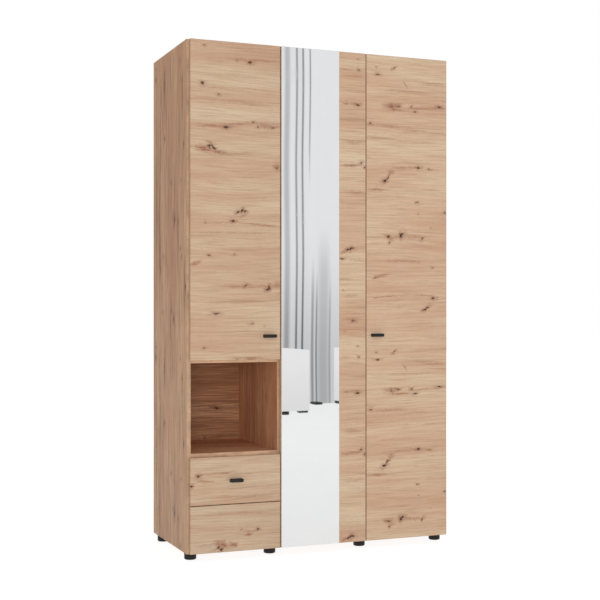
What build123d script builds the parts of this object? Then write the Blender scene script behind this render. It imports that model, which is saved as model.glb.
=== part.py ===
from build123d import *
import os

os.makedirs("parts", exist_ok=True)

# Free-standing flat-pack wardrobe. Millimetres, +Z up, the fronts face -Y, and the origin is on the
# floor below the centre of the outer box, handles included.

# Overall sizes
width = 1125.0
height = 2000.0
carcass_depth = 484.5
board = 16.0
foot_height = 29.0
foot_radius = 23.5

# Fronts: three equal columns laid over the carcass
front_board = 16.0
front_air = 3.0
column_gap = 3.5
front_inset = 9.25
door_top = 1998.7
front_bottom = 30.3
left_door_bottom = 769.5
upper_drawer_low = 215.1
upper_drawer_high = 397.8
lower_drawer_high = 212.1
front_edge_round = 0.5

# Inner structure
partition_x = -185.0
niche_floor_top = 412.0
niche_roof_low = 759.4
niche_back_front = 456.0
back_sheet = 3.0
back_sheet_setback = 9.5
back_groove = 5.5
hat_shelf_low = 1668.0

# Handles
handle_length = 51.0
handle_tall = 12.5
handle_reach = 20.0
handle_pitch = 32.0
door_handle_z = 861.5
door_handle_inset = 20.0 + handle_length / 2
drawer_handle_z = 305.5

# Mirror strip on the middle door
mirror_inset = 2.0
mirror_width = 248.0
mirror_thickness = 4.0
mirror_rebate = 3.0
tape_thickness = 0.4

# Cup hinges, measured from the hinged edge of the door (across) and from the carcass front (out)
cup_across = 20.0
cup_radius = 17.5
cup_bore_depth = 12.2
cup_wall = 0.7
pin_across = 7.0
pin_out = 11.5
pin_radius = 1.5
pin_length = 19.2
barrel_play = 0.06

# Drawers
runner_thickness = 12.7
runner_length = 400.0
drawer_board = 12.0
drawer_depth = 400.0
drawer_wall = 120.0
drawer_sheet = 3.0

# Flat-pack fasteners
cam_radius = 7.4
cam_depth = 12.5
cam_from_end = 24.0
dowel_radius = 3.95
dowel_into_end = 20.0
dowel_into_face = 10.0
play = 0.05

# Planes that follow from the driving sizes
front_reach = front_air + front_board + handle_reach
total_depth = carcass_depth + front_reach
face_y = front_reach - total_depth / 2
rear_y = face_y + carcass_depth
front_back_y = face_y - front_air
front_face_y = front_back_y - front_board
side_outer = width / 2
side_inner = side_outer - board
partition_left = partition_x - board / 2
partition_right = partition_x + board / 2
floor_low = foot_height
floor_top = foot_height + board
roof_low = height - board
sheet_rear_y = rear_y - back_sheet_setback
sheet_front_y = sheet_rear_y - back_sheet
front_outer = side_outer - front_inset
column_width = (2 * front_outer - 2 * column_gap) / 3
left_edges = (-front_outer, -front_outer + column_width)
middle_edges = (left_edges[1] + column_gap, left_edges[1] + column_gap + column_width)
right_edges = (middle_edges[1] + column_gap, front_outer)
left_column_x = (left_edges[0] + left_edges[1]) / 2


def keep(piece, name):
    piece.part.label = name
    export_step(piece.part, f"parts/{name}.step")


def make_board(low, high, bores=(), cuts=(), edge_round=0.0):
    """A board between two corners, less round bores and box-shaped grooves.

    A bore is (point on the surface, direction into the board, radius, depth), and a cut is a pair
    of corners."""
    size = [b - a for a, b in zip(low, high)]
    middle = [(a + b) / 2 for a, b in zip(low, high)]
    with BuildPart() as piece:
        with Locations(tuple(middle)):
            Box(*size)
        if edge_round:
            fillet(piece.edges(), edge_round)
        for cut_low, cut_high in cuts:
            with Locations(tuple((a + b) / 2 for a, b in zip(cut_low, cut_high))):
                Box(*[b - a for a, b in zip(cut_low, cut_high)], mode=Mode.SUBTRACT)
        for point, direction, radius, depth in bores:
            with Locations(Plane(origin=point, z_dir=direction)):
                Cylinder(radius, depth, align=(Align.CENTER, Align.CENTER, Align.MIN),
                         mode=Mode.SUBTRACT)
    return piece


def along(point, direction, distance):
    return tuple(p + d * distance for p, d in zip(point, direction))


def reverse(direction):
    return tuple(-d for d in direction)


# ---- Corner joints: two cam bolts and two dowels at each board end -------------------------------
# An end is (point on the contact face at y = 0, direction into the end, side that the cams open to,
# y of the cams, y of the dowels). The boards that the ends belong to, and meet, are bored below.

joint_cams = (face_y + 64.0, sheet_front_y - 60.0)
joint_dowels = (face_y + 96.0, sheet_front_y - 92.0)
shelf_cams = (face_y + 50.0, sheet_front_y - 70.0)
shelf_dowels = (face_y + 82.0, sheet_front_y - 102.0)
right, left, up, down = (1, 0, 0), (-1, 0, 0), (0, 0, 1), (0, 0, -1)
front, rear = (0, -1, 0), (0, 1, 0)


def end_joint(x, z, inward, cam_side, cams, dowels):
    return {"point": (x, 0.0, z), "inward": inward, "cam_side": cam_side, "cams": cams,
            "dowels": dowels}


top_z = height - board / 2
bottom_z = foot_height + board / 2
niche_roof_z = niche_roof_low + board / 2
niche_floor_z = niche_floor_top - board / 2
hat_shelf_z = hat_shelf_low + board / 2

joints = {
    "top_left": end_joint(-side_inner, top_z, right, down, joint_cams, joint_dowels),
    "top_right": end_joint(side_inner, top_z, left, down, joint_cams, joint_dowels),
    "bottom_left": end_joint(-side_inner, bottom_z, right, up, joint_cams, joint_dowels),
    "bottom_right": end_joint(side_inner, bottom_z, left, up, joint_cams, joint_dowels),
    "roof_left": end_joint(-side_inner, niche_roof_z, right, up, shelf_cams, shelf_dowels),
    "roof_right": end_joint(partition_left, niche_roof_z, left, up, shelf_cams, shelf_dowels),
    "floor_left": end_joint(-side_inner, niche_floor_z, right, down, shelf_cams, shelf_dowels),
    "floor_right": end_joint(partition_left, niche_floor_z, left, down, shelf_cams, shelf_dowels),
    "hat_left": end_joint(partition_right, hat_shelf_z, right, down, shelf_cams, shelf_dowels),
    "hat_right": end_joint(side_inner, hat_shelf_z, left, down, shelf_cams, shelf_dowels),
    "upright_top": end_joint(partition_x, roof_low, down, right, joint_cams, joint_dowels),
    "upright_bottom": end_joint(partition_x, floor_top, up, right, joint_cams, joint_dowels),
}


def end_bores(*names):
    """Bores in the board whose end is at the joint."""
    bores = []
    for name in names:
        joint = joints[name]
        for y in joint["cams"]:
            start = (joint["point"][0], y, joint["point"][2])
            face = along(along(start, joint["inward"], cam_from_end), joint["cam_side"], board / 2)
            bores.append((face, reverse(joint["cam_side"]), cam_radius + play, cam_depth + play))
            bores.append((start, joint["inward"], 3.6, cam_from_end))
        for y in joint["dowels"]:
            start = (joint["point"][0], y, joint["point"][2])
            bores.append((start, joint["inward"], dowel_radius + play, dowel_into_end + 0.5))
    return bores


def face_bores(*names):
    """Bores in the board whose face the end meets."""
    bores = []
    for name in names:
        joint = joints[name]
        outward = reverse(joint["inward"])
        for y in joint["cams"]:
            bores.append(((joint["point"][0], y, joint["point"][2]), outward, 2.5, 11.5))
        for y in joint["dowels"]:
            start = (joint["point"][0], y, joint["point"][2])
            bores.append((start, outward, dowel_radius + play, dowel_into_face + 0.5))
    return bores


# Dowels that hold the niche back between its two shelves
niche_back_y = (niche_back_front + niche_back_front + board) / 2 + face_y
niche_dowel_xs = (-side_inner + 80.0, partition_left - 80.0)


def niche_dowel_bores(z, direction, depth):
    return [((x, niche_back_y, z), direction, dowel_radius + play, depth) for x in niche_dowel_xs]


with BuildPart() as dowels:
    for joint in joints.values():
        for y in joint["dowels"]:
            start = (joint["point"][0], y, joint["point"][2])
            base = along(start, joint["inward"], -dowel_into_face)
            with Locations(Plane(origin=base, z_dir=joint["inward"])):
                Cylinder(dowel_radius, dowel_into_face + dowel_into_end,
                         align=(Align.CENTER, Align.CENTER, Align.MIN))
    for z, direction in ((niche_floor_top, up), (niche_roof_low, down)):
        for x in niche_dowel_xs:
            base = along((x, niche_back_y, z), direction, -dowel_into_face)
            with Locations(Plane(origin=base, z_dir=direction)):
                Cylinder(dowel_radius, dowel_into_face + dowel_into_end,
                         align=(Align.CENTER, Align.CENTER, Align.MIN))
keep(dowels, "dowels")

# A cam bolt is screwed into a face, and its head sits in the slot of the cam lock
with BuildPart() as cam_bolts:
    for joint in joints.values():
        for y in joint["cams"]:
            start = (joint["point"][0], y, joint["point"][2])
            stages = ((-11.0, 11.0, 2.45), (0.0, 20.0, 3.2), (20.0, 3.0, 1.8), (23.0, 2.5, 3.2))
            for offset_in, length, radius in stages:
                base = along(start, joint["inward"], offset_in)
                with Locations(Plane(origin=base, z_dir=joint["inward"])):
                    Cylinder(radius, length, align=(Align.CENTER, Align.CENTER, Align.MIN))
keep(cam_bolts, "cam_bolts")

with BuildPart() as cam_locks:
    for joint in joints.values():
        for y in joint["cams"]:
            start = (joint["point"][0], y, joint["point"][2])
            middle = along(start, joint["inward"], cam_from_end)
            face = along(middle, joint["cam_side"], board / 2)
            with Locations(Plane(origin=face, z_dir=reverse(joint["cam_side"]))):
                Cylinder(cam_radius, cam_depth, align=(Align.CENTER, Align.CENTER, Align.MIN))
                Cylinder(2.8, 2.0, align=(Align.CENTER, Align.CENTER, Align.MIN),
                         mode=Mode.SUBTRACT)
            with Locations(Plane(origin=start, z_dir=joint["inward"])):
                Cylinder(3.4, cam_from_end + 2.0, align=(Align.CENTER, Align.CENTER, Align.MIN),
                         mode=Mode.SUBTRACT)
keep(cam_locks, "cam_locks")

# ---- Hinge places --------------------------------------------------------------------------------
# A hinge row is (x of the door's hinged edge, +1 or -1 towards the middle of the door, x of the
# panel face that carries the plates, heights).

hinge_rows = {
    "left": (left_edges[0], 1, -side_inner, (869.5, 1384.0, 1898.7)),
    "middle": (middle_edges[0], 1, partition_right, (130.3, 719.8, 1309.3, 1898.7)),
    "right": (right_edges[1], -1, side_inner, (130.3, 719.8, 1309.3, 1898.7)),
}
plate_screw_rise = 16.0
plate_screw_back = 37.0
plate_thickness = 2.0


def plate_bores(row):
    edge, towards, panel_x, heights = hinge_rows[row]
    bores = []
    for z in heights:
        for rise in (-plate_screw_rise, plate_screw_rise):
            point = (panel_x, face_y + plate_screw_back, z + rise)
            bores.append((point, (-towards, 0, 0), 2.5, 11.5))
    return bores


# ---- Shelves on pins behind the left door --------------------------------------------------------

pin_shelf_count = 3
pin_shelf_step = 275.0
pin_shelf_lows = [niche_roof_low + board + pin_shelf_step * (i + 1) for i in range(pin_shelf_count)]
pin_ys = (face_y + 77.0, face_y + 397.0)
pin_reach = 7.0
pin_hole = 8.0
shelf_pin_radius = 2.45


def pin_bores(x, direction):
    return [((x, y, z - shelf_pin_radius), direction, shelf_pin_radius + play, pin_hole + 0.5)
            for z in pin_shelf_lows for y in pin_ys]


with BuildPart() as shelf_pins:
    for z in pin_shelf_lows:
        for y in pin_ys:
            for x, inward in ((-side_inner, right), (partition_left, left)):
                centre = (x, y, z - shelf_pin_radius)
                with Locations(Plane(origin=along(centre, inward, -pin_hole), z_dir=inward)):
                    Cylinder(shelf_pin_radius, pin_hole + pin_reach,
                             align=(Align.CENTER, Align.CENTER, Align.MIN))
keep(shelf_pins, "shelf_pins")

for i, z in enumerate(pin_shelf_lows):
    shelf = make_board((-side_inner + 0.5, face_y + 12.0, z),
                       (partition_left - 0.5, sheet_front_y - 4.0, z + board))
    keep(shelf, f"adjustable_shelf_{i + 1}")

# ---- Clothes rail in the double compartment ------------------------------------------------------

rail_z = hat_shelf_low - 60.0
rail_y = face_y + 235.0
rail_tall = 30.0
rail_wide = 15.0
rail_wall = 1.2
bracket_deep = 12.0
bracket_base = 2.5
rail_pin_rise = 9.0


def oval_on(x, z_dir):
    """A plane across the rail, with its first axis up."""
    return Plane(origin=(x, rail_y, rail_z), x_dir=(0, 0, 1), z_dir=z_dir)


with BuildPart() as clothes_rail:
    with BuildSketch(oval_on(partition_right + bracket_base + 0.2, right)):
        SlotOverall(rail_tall, rail_wide)
        SlotOverall(rail_tall - 2 * rail_wall, rail_wide - 2 * rail_wall, mode=Mode.SUBTRACT)
    extrude(amount=side_inner - partition_right - 2 * bracket_base - 0.4)
keep(clothes_rail, "clothes_rail")

with BuildPart() as rail_brackets:
    for x, inward in ((partition_right, right), (side_inner, left)):
        with BuildSketch(oval_on(x, inward)):
            SlotOverall(rail_tall + 6.0, rail_wide + 6.0)
        extrude(amount=bracket_deep)
        with BuildSketch(oval_on(x + bracket_base * inward[0], inward)):
            SlotOverall(rail_tall + 0.4, rail_wide + 0.4)
        extrude(amount=bracket_deep, mode=Mode.SUBTRACT)
        for rise in (-rail_pin_rise, rail_pin_rise):
            start = (x, rail_y, rail_z + rise)
            with Locations(Plane(origin=start, z_dir=reverse(inward))):
                Cylinder(2.45, 8.0, align=(Align.CENTER, Align.CENTER, Align.MIN))
keep(rail_brackets, "rail_brackets")


def rail_bores(x, direction):
    return [((x, rail_y, rail_z + rise), direction, 2.5, 8.5)
            for rise in (-rail_pin_rise, rail_pin_rise)]


# ---- Feet ----------------------------------------------------------------------------------------

foot_xs = (-533.0, -206.0, 185.5, 533.0)
foot_ys = (face_y + 50.0, face_y + 440.0)
foot_screw_length = 22.0

with BuildPart() as feet:
    for x in foot_xs:
        for y in foot_ys:
            with BuildSketch(Plane(origin=(x, y, 0), x_dir=(1, 0, 0), z_dir=(0, -1, 0))):
                with BuildLine():
                    Polyline((5.5, 0), (foot_radius - 5.0, 0))
                    RadiusArc((foot_radius - 5.0, 0), (foot_radius, 5.0), -5.0)
                    Polyline((foot_radius, 5.0), (foot_radius, foot_height), (2.2, foot_height),
                             (2.2, 18.0), (5.5, 18.0), (5.5, 0))
                make_face()
            revolve(axis=Axis((x, y, 0), (0, 0, 1)))
keep(feet, "feet")

with BuildPart() as foot_screws:
    for x in foot_xs:
        for y in foot_ys:
            with Locations((x, y, 15.0)):
                Cylinder(4.4, 3.0, align=(Align.CENTER, Align.CENTER, Align.MIN))
            with Locations((x, y, 18.0)):
                Cylinder(1.95, foot_screw_length, align=(Align.CENTER, Align.CENTER, Align.MIN))
keep(foot_screws, "foot_screws")

foot_bores = [((x, y, floor_low), up, 2.0, foot_screw_length - 10.5) for x in foot_xs for y in foot_ys]

# ---- Carcass boards ------------------------------------------------------------------------------

groove_y = (sheet_front_y - 0.1, sheet_rear_y + 0.1)


def side_groove(x, depth):
    low_x, high_x = sorted((x, x + depth))
    return ((low_x, groove_y[0], floor_low), (high_x, groove_y[1], height))


side_left = make_board(
    (-side_outer, face_y, floor_low), (-side_inner, rear_y, height),
    bores=(face_bores("top_left", "bottom_left", "roof_left", "floor_left") + plate_bores("left")
           + pin_bores(-side_inner, left)),
    cuts=[side_groove(-side_inner, -back_groove)])
keep(side_left, "side_left")

side_right = make_board(
    (side_inner, face_y, floor_low), (side_outer, rear_y, height),
    bores=(face_bores("top_right", "bottom_right", "hat_right") + plate_bores("right")
           + rail_bores(side_inner, right)),
    cuts=[side_groove(side_inner, back_groove)])
keep(side_right, "side_right")

partition = make_board(
    (partition_left, face_y, floor_top), (partition_right, sheet_front_y, roof_low),
    bores=(face_bores("roof_right", "floor_right", "hat_left") + plate_bores("middle")
           + end_bores("upright_top", "upright_bottom") + pin_bores(partition_left, right)
           + rail_bores(partition_right, left)))
keep(partition, "partition")

top_panel = make_board(
    (-side_inner, face_y, roof_low), (side_inner, rear_y, height),
    bores=end_bores("top_left", "top_right") + face_bores("upright_top"),
    cuts=[((-side_inner, groove_y[0], roof_low), (side_inner, groove_y[1], roof_low + back_groove))])
keep(top_panel, "top_panel")

bottom_panel = make_board(
    (-side_inner, face_y, floor_low), (side_inner, rear_y, floor_top),
    bores=end_bores("bottom_left", "bottom_right") + face_bores("upright_bottom") + foot_bores,
    cuts=[((-side_inner, groove_y[0], floor_top - back_groove), (side_inner, groove_y[1], floor_top))])
keep(bottom_panel, "bottom_panel")

niche_top_shelf = make_board(
    (-side_inner, face_y, niche_roof_low), (partition_left, sheet_front_y, niche_roof_low + board),
    bores=end_bores("roof_left", "roof_right") + niche_dowel_bores(niche_roof_low, up, 10.5))
keep(niche_top_shelf, "niche_top_shelf")

niche_floor_shelf = make_board(
    (-side_inner, face_y, niche_floor_top - board), (partition_left, sheet_front_y, niche_floor_top),
    bores=end_bores("floor_left", "floor_right") + niche_dowel_bores(niche_floor_top, down, 10.5))
keep(niche_floor_shelf, "niche_floor_shelf")

niche_back = make_board(
    (-side_inner, face_y + niche_back_front, niche_floor_top),
    (partition_left, sheet_front_y, niche_roof_low),
    bores=(niche_dowel_bores(niche_floor_top, up, dowel_into_end + 0.5)
           + niche_dowel_bores(niche_roof_low, down, dowel_into_end + 0.5)))
keep(niche_back, "niche_back")

hat_shelf = make_board(
    (partition_right, face_y + 12.0, hat_shelf_low), (side_inner, sheet_front_y - 2.0, hat_shelf_z + 8),
    bores=end_bores("hat_left", "hat_right"))
keep(hat_shelf, "hat_shelf")

# ---- Back sheets in their grooves, and the profile that joins two of them ------------------------

sheet_low = floor_top - back_groove + 0.3
sheet_high = roof_low + back_groove - 0.3
sheet_edge = side_inner + back_groove - 0.3
joiner_x = (partition_x + side_inner) / 2 + 4.0
joiner_web = 1.0
joiner_flange = 12.0
joiner_leaf = 0.8

sheet_spans = {
    "back_sheet_left": (-sheet_edge, partition_x - 0.3),
    "back_sheet_middle": (partition_x + 0.3, joiner_x - joiner_web / 2 - 0.1),
    "back_sheet_right": (joiner_x + joiner_web / 2 + 0.1, sheet_edge),
}
for name, (x_low, x_high) in sheet_spans.items():
    sheet = make_board((x_low, sheet_front_y, sheet_low), (x_high, sheet_rear_y, sheet_high))
    keep(sheet, name)

with BuildPart() as back_joiner:
    with BuildSketch(Plane.XY.offset(floor_top + 0.5)):
        with Locations((joiner_x, (sheet_front_y + sheet_rear_y) / 2)):
            Rectangle(joiner_web, back_sheet + 2 * joiner_leaf)
        for y in (sheet_front_y - joiner_leaf / 2 - 0.05, sheet_rear_y + joiner_leaf / 2 + 0.05):
            with Locations((joiner_x, y)):
                Rectangle(joiner_flange, joiner_leaf)
    extrude(amount=roof_low - floor_top - 1.0)
keep(back_joiner, "back_joiner")

nail_shelf_xs = (-side_inner + 60.0, left_column_x, partition_left - 60.0)
nail_rise_count = 8
nail_spots = [(x, z) for x in nail_shelf_xs for z in (niche_roof_z, niche_floor_z)]
for side in (-4.5, 4.5):
    for i in range(nail_rise_count):
        nail_spots.append((partition_x + side, floor_top + 120.0 + i * (roof_low - 280.0) / nail_rise_count))

with BuildPart() as back_nails:
    for x, z in nail_spots:
        with Locations(Plane(origin=(x, sheet_rear_y, z), z_dir=rear)):
            Cylinder(2.2, 0.6, align=(Align.CENTER, Align.CENTER, Align.MIN))
keep(back_nails, "back_nails")

# ---- Hinges --------------------------------------------------------------------------------------


def hinge_plane(row, z):
    """First axis across the door from its hinged edge, second axis out of the carcass front."""
    edge, towards, panel_x, heights = hinge_rows[row]
    return Plane(origin=(edge, face_y, z), x_dir=(towards, 0, 0), z_dir=(0, 0, -towards))


cup_floor_out = front_air + cup_bore_depth
flange_thickness = 1.2
ear_rise = 22.5
ear_across = cup_across + 9.5
neck_half = 4.0
channel_half = 7.0
channel_low = -58.0
channel_high = -12.0
arm_top = 20.0


def build_cups(row):
    edge, towards, panel_x, heights = hinge_rows[row]
    with BuildPart() as cups:
        for z in heights:
            on_back = Plane(origin=(edge + towards * cup_across, face_y - front_air, z),
                            x_dir=(towards, 0, 0), z_dir=rear)
            with BuildSketch(on_back):
                Circle(cup_radius + 0.5)
                with Locations((9.5, 0)):
                    SlotOverall(2 * ear_rise + 12.0, 12.0, rotation=90)
            extrude(amount=flange_thickness)
            with BuildSketch(on_back):
                Circle(cup_radius - play)
            extrude(amount=-cup_bore_depth + play)
            with BuildSketch(on_back.offset(flange_thickness)):
                Circle(cup_radius - play - cup_wall)
            extrude(amount=-(cup_bore_depth - play - cup_wall) - flange_thickness, mode=Mode.SUBTRACT)
            with BuildSketch(on_back):
                with Locations((9.5, ear_rise), (9.5, -ear_rise)):
                    Circle(dowel_radius)
            extrude(amount=-11.0)
            with Locations((edge + towards * pin_across, face_y - pin_out, z)):
                Cylinder(pin_radius, pin_length)
    return cups


def build_arms(row):
    edge, towards, panel_x, heights = hinge_rows[row]
    plate_top = abs(panel_x - edge) + plate_thickness
    with BuildPart() as arms:
        for z in heights:
            plane = hinge_plane(row, z)
            with BuildSketch(plane):
                with BuildLine():
                    FilletPolyline((pin_across + 1.9, pin_out + 0.2), (20.6, 13.2), (20.6, 3.0),
                                   (arm_top - 1.0, -4.0), (arm_top - 1.0, channel_high - 4.0),
                                   radius=1.6)
                trace(line_width=2.0)
                with Locations((pin_across, pin_out)):
                    Circle(pin_radius + 0.9)
                    Circle(pin_radius + barrel_play, mode=Mode.SUBTRACT)
            extrude(amount=neck_half, both=True)
            with BuildSketch(plane):
                with Locations(((plate_top + arm_top) / 2, (channel_low + channel_high) / 2)):
                    Rectangle(arm_top - plate_top, channel_high - channel_low)
            extrude(amount=channel_half, both=True)
            with BuildSketch(plane):
                with Locations(((plate_top + arm_top - 1.6) / 2, (channel_low + channel_high) / 2)):
                    Rectangle(arm_top - plate_top - 1.6, channel_high - channel_low)
            extrude(amount=channel_half - 1.4, both=True, mode=Mode.SUBTRACT)
    return arms


for row in hinge_rows:
    keep(build_cups(row), f"hinge_cups_{row}")
    keep(build_arms(row), f"hinge_arms_{row}")

plate_screw_head = 1.4
with BuildPart() as hinge_plates:
    for edge, towards, panel_x, heights in hinge_rows.values():
        for z in heights:
            on_panel = Plane(origin=(panel_x, face_y + plate_screw_back, z), x_dir=(0, 1, 0),
                             z_dir=(towards, 0, 0))
            with BuildSketch(on_panel):
                SlotOverall(2 * plate_screw_rise + 16.0, 16.0, rotation=90)
                with Locations((-1.0, 0)):
                    RectangleRounded(44.0, 12.0, 2.0)
                with Locations((0, plate_screw_rise), (0, -plate_screw_rise)):
                    Circle(2.6, mode=Mode.SUBTRACT)
            extrude(amount=plate_thickness)
keep(hinge_plates, "hinge_plates")

with BuildPart() as hinge_plate_screws:
    for edge, towards, panel_x, heights in hinge_rows.values():
        for z in heights:
            for rise in (-plate_screw_rise, plate_screw_rise):
                seat = (panel_x + towards * plate_thickness, face_y + plate_screw_back, z + rise)
                with Locations(Plane(origin=seat, z_dir=(towards, 0, 0))):
                    Cylinder(4.0, plate_screw_head, align=(Align.CENTER, Align.CENTER, Align.MIN))
                with Locations(Plane(origin=seat, z_dir=(-towards, 0, 0))):
                    Cylinder(2.45, 13.0, align=(Align.CENTER, Align.CENTER, Align.MIN))
keep(hinge_plate_screws, "hinge_plate_screws")

# ---- Doors, mirror and handles -------------------------------------------------------------------


def cup_bores(row):
    edge, towards, panel_x, heights = hinge_rows[row]
    bores = []
    for z in heights:
        bores.append(((edge + towards * cup_across, front_back_y, z), front, cup_radius, cup_bore_depth))
        for rise in (-ear_rise, ear_rise):
            point = (edge + towards * ear_across, front_back_y, z + rise)
            bores.append((point, front, dowel_radius + play, 11.5))
    return bores


def handle_bores(x, z):
    return [((x + shift, front_back_y, z), front, 2.2, front_board)
            for shift in (-handle_pitch / 2, handle_pitch / 2)]


def build_handle(x, z):
    """A solid bar, with shallow finger grooves above and below next to the front."""
    groove_wide = 8.0
    groove_deep = 1.6
    with BuildPart() as handle:
        with BuildSketch(Plane(origin=(x, front_face_y, z), x_dir=right, z_dir=front)):
            RectangleRounded(handle_length, handle_tall, 2.4)
        extrude(amount=handle_reach)
        fillet(handle.faces().sort_by(Axis.Y)[0].edges(), 2.0)
        for side in (-1, 1):
            centre_z = z + side * (handle_tall / 2)
            with Locations((x, front_face_y - 1.5 - groove_wide / 2, centre_z)):
                Box(handle_length + 1.0, groove_wide, 2 * groove_deep, mode=Mode.SUBTRACT)
        for shift in (-handle_pitch / 2, handle_pitch / 2):
            with Locations(Plane(origin=(x + shift, front_face_y, z), z_dir=front)):
                Cylinder(2.0, 12.5, align=(Align.CENTER, Align.CENTER, Align.MIN), mode=Mode.SUBTRACT)
    return handle


def build_handle_screws(x, z):
    with BuildPart() as screws:
        for shift in (-handle_pitch / 2, handle_pitch / 2):
            start = (x + shift, front_back_y, z)
            with Locations(Plane(origin=start, z_dir=rear)):
                Cylinder(4.2, 2.2, align=(Align.CENTER, Align.CENTER, Align.MIN))
            with Locations(Plane(origin=start, z_dir=front)):
                Cylinder(1.95, front_board + 11.0, align=(Align.CENTER, Align.CENTER, Align.MIN))
    return screws


left_handle_x = left_edges[1] - door_handle_inset
right_handle_x = right_edges[0] + door_handle_inset

door_left = make_board(
    (left_edges[0], front_face_y, left_door_bottom), (left_edges[1], front_back_y, door_top),
    bores=cup_bores("left") + handle_bores(left_handle_x, door_handle_z), edge_round=front_edge_round)
keep(door_left, "door_left")

door_right = make_board(
    (right_edges[0], front_face_y, front_bottom), (right_edges[1], front_back_y, door_top),
    bores=cup_bores("right") + handle_bores(right_handle_x, door_handle_z), edge_round=front_edge_round)
keep(door_right, "door_right")

mirror_low_x = middle_edges[0] + mirror_inset
mirror_high_x = mirror_low_x + mirror_width
rebate_y = front_face_y + mirror_rebate
door_middle = make_board(
    (middle_edges[0], front_face_y, front_bottom), (middle_edges[1], front_back_y, door_top),
    bores=cup_bores("middle"),
    cuts=[((mirror_low_x, front_face_y - 1.0, front_bottom - 1.0),
           (mirror_high_x, rebate_y, door_top + 1.0))],
    edge_round=front_edge_round)
keep(door_middle, "door_middle")

mirror_back_y = rebate_y - tape_thickness
with BuildPart() as mirror:
    with Locations(((mirror_low_x + mirror_high_x) / 2, mirror_back_y - mirror_thickness / 2,
                    (front_bottom + door_top) / 2)):
        Box(mirror_width - 0.4, mirror_thickness, door_top - front_bottom)
    chamfer(mirror.faces().sort_by(Axis.Y)[0].edges(), 1.0)
keep(mirror, "mirror")

tape_count = 4
tape_wide = 18.0
with BuildPart() as mirror_tape:
    for i in range(tape_count):
        tape_x = mirror_low_x + mirror_width * (i + 0.5) / tape_count
        with Locations((tape_x, rebate_y - tape_thickness / 2, (front_bottom + door_top) / 2)):
            Box(tape_wide, tape_thickness, door_top - front_bottom - 60.0)
keep(mirror_tape, "mirror_tape")

keep(build_handle(left_handle_x, door_handle_z), "handle_left")
keep(build_handle_screws(left_handle_x, door_handle_z), "handle_screws_left")
keep(build_handle(right_handle_x, door_handle_z), "handle_right")
keep(build_handle_screws(right_handle_x, door_handle_z), "handle_screws_right")
keep(build_handle(left_column_x, drawer_handle_z), "upper_drawer_handle")
keep(build_handle_screws(left_column_x, drawer_handle_z), "upper_drawer_handle_screws")

# ---- Drawers -------------------------------------------------------------------------------------

box_left = -side_inner + runner_thickness
box_right = partition_left - runner_thickness
box_rear_y = front_back_y + drawer_depth
sheet_lift = 10.0
sheet_groove = 6.0
drawer_boxes = {
    "upper": (upper_drawer_low, upper_drawer_high, upper_drawer_low + 20.0),
    "lower": (front_bottom, lower_drawer_high, front_bottom + 30.0),
}
runner_rise = {"upper": upper_drawer_low + 20.0 + drawer_wall / 2,
               "lower": front_bottom + 30.0 + drawer_wall / 2}

for name, (front_low, front_high, box_low) in drawer_boxes.items():
    box_high = box_low + drawer_wall
    sheet_z = (box_low + sheet_lift, box_low + sheet_lift + drawer_sheet)
    groove_z = (sheet_z[0] - 0.1, sheet_z[1] + 0.1)
    drawer_front = make_board(
        (left_edges[0], front_face_y, front_low), (left_edges[1], front_back_y, front_high),
        bores=handle_bores(left_column_x, drawer_handle_z) if name == "upper" else (),
        cuts=[((box_left + drawer_board - sheet_groove, front_back_y - sheet_groove, groove_z[0]),
               (box_right - drawer_board + sheet_groove, front_back_y, groove_z[1]))],
        edge_round=front_edge_round)
    keep(drawer_front, f"{name}_drawer_front")
    for side, outer_x, towards in (("left", box_left, 1), ("right", box_right, -1)):
        inner_x = outer_x + towards * drawer_board
        groove_x = sorted((inner_x, inner_x - towards * sheet_groove))
        wall_x = sorted((outer_x, inner_x))
        drawer_side = make_board(
            (wall_x[0], front_back_y, box_low), (wall_x[1], box_rear_y, box_high),
            cuts=[((groove_x[0], front_back_y, groove_z[0]), (groove_x[1], box_rear_y, groove_z[1]))])
        keep(drawer_side, f"{name}_drawer_side_{side}")
    drawer_back = make_board(
        (box_left + drawer_board, box_rear_y - drawer_board, sheet_z[1]),
        (box_right - drawer_board, box_rear_y, box_high))
    keep(drawer_back, f"{name}_drawer_back")
    drawer_bottom = make_board(
        (box_left + drawer_board - sheet_groove + 0.3, front_back_y - sheet_groove + 0.3, sheet_z[0]),
        (box_right - drawer_board + sheet_groove - 0.3, box_rear_y, sheet_z[1]))
    keep(drawer_bottom, f"{name}_drawer_bottom")


def add_channel(wall_x, towards, z, web_at, tall, reach, y_low, y_high):
    """A channel along Y: its web stands web_at from the wall, and its lips run reach from there."""
    steel = 1.2
    with BuildPart() as channel:
        with BuildSketch(Plane(origin=(wall_x, y_low, z), x_dir=(towards, 0, 0), z_dir=(0, 1, 0))):
            web_middle = web_at + (steel / 2 if reach > 0 else -steel / 2)
            with Locations((web_middle, 0)):
                Rectangle(steel, tall)
            for side in (-1, 1):
                with Locations((web_at + reach / 2, side * (tall - steel) / 2)):
                    Rectangle(abs(reach), steel)
        extrude(amount=y_high - y_low)
    return channel.part


runner_front_y = face_y + 2.0
runner_rear_y = runner_front_y + runner_length
wall_pairs = ((-side_inner, 1), (partition_left, -1))

outer_channels = [add_channel(wall_x, towards, z, 0.0, 45.0, 8.0, runner_front_y, runner_rear_y)
                  for z in runner_rise.values() for wall_x, towards in wall_pairs]
with BuildPart() as runner_outer_members:
    add(outer_channels)
keep(runner_outer_members, "runner_outer_members")

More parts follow.
